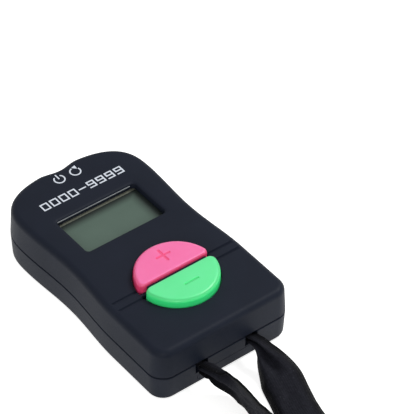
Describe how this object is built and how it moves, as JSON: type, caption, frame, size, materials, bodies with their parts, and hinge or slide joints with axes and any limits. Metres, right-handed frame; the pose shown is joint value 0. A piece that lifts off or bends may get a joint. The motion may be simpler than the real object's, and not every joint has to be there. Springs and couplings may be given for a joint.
{
  "type": "digital finger counter",
  "caption": "Hand-held electronic tally counter with a display, plus and minus half-round buttons, a reset button, a sliding battery door and a ribbon lanyard.",
  "frame": {"origin": "middle of the back face, the counter lying face up, reset button included, lanyard left out", "axes": "+Z out of the face with the display, +Y from the lanyard end to the reset end, +X to the right seen from the front"},
  "size_m": [0.1014, 0.178, 0.017],
  "materials": {
    "case_black": "fine matte moulding",
    "pink_plastic": "satin",
    "green_plastic": "satin",
    "blue_plastic": "satin",
    "board_green": "solder mask",
    "switch_black": "moulded",
    "white_plastic": "moulded",
    "lcd_glass": "grey-green display, opaque",
    "zebra_rubber": "plain",
    "steel": "plain",
    "ribbon": "woven satin"
  },
  "bodies": {
    "case": {"front_shell": "case_black", "back_shell": "case_black", "circuit_board": "board_green", "plus_switch": "switch_black", "minus_switch": "switch_black", "reset_switch": "switch_black", "chip_blob": "switch_black", "lcd_panel": "lcd_glass", "display_holder": "white_plastic", "zebra_strip": "zebra_rubber", "battery_cell": "steel", "battery_contact_negative": "steel", "battery_contact_positive": "steel", "case_screw_lanyard_left": "steel", "case_screw_lanyard_right": "steel", "case_screw_reset_left": "steel", "case_screw_reset_right": "steel", "centre_screw": "steel", "board_screw_left": "steel", "board_screw_right": "steel", "lanyard_bight": "ribbon", "lanyard_left_strand": "ribbon", "lanyard_right_strand": "ribbon", "lanyard_coil": "ribbon"},
    "battery_door": {"battery_door": "case_black"},
    "plus_key": {"plus_button": "pink_plastic", "plus_switch_plunger": "white_plastic"},
    "minus_key": {"minus_button": "green_plastic", "minus_switch_plunger": "white_plastic"},
    "reset_key": {"reset_button": "blue_plastic", "reset_switch_plunger": "white_plastic"}
  },
  "joints": [
    {"name": "plus_press", "type": "slide", "parent": "case", "child": "plus_key", "axis": [0, 0, -1], "range_m": [0, 0.0006], "stiffness_N_per_m": 2000, "springref_m": -0.0002},
    {"name": "minus_press", "type": "slide", "parent": "case", "child": "minus_key", "axis": [0, 0, -1], "range_m": [0, 0.0006], "stiffness_N_per_m": 2000, "springref_m": -0.0002},
    {"name": "reset_press", "type": "slide", "parent": "case", "child": "reset_key", "axis": [0, -1, 0], "range_m": [0, 0.0008], "stiffness_N_per_m": 2000, "springref_m": -0.0002},
    {"name": "battery_door_slide", "type": "slide", "parent": "case", "child": "battery_door", "axis": [0, -1, 0], "range_m": [0, 0.003]}
  ]
}
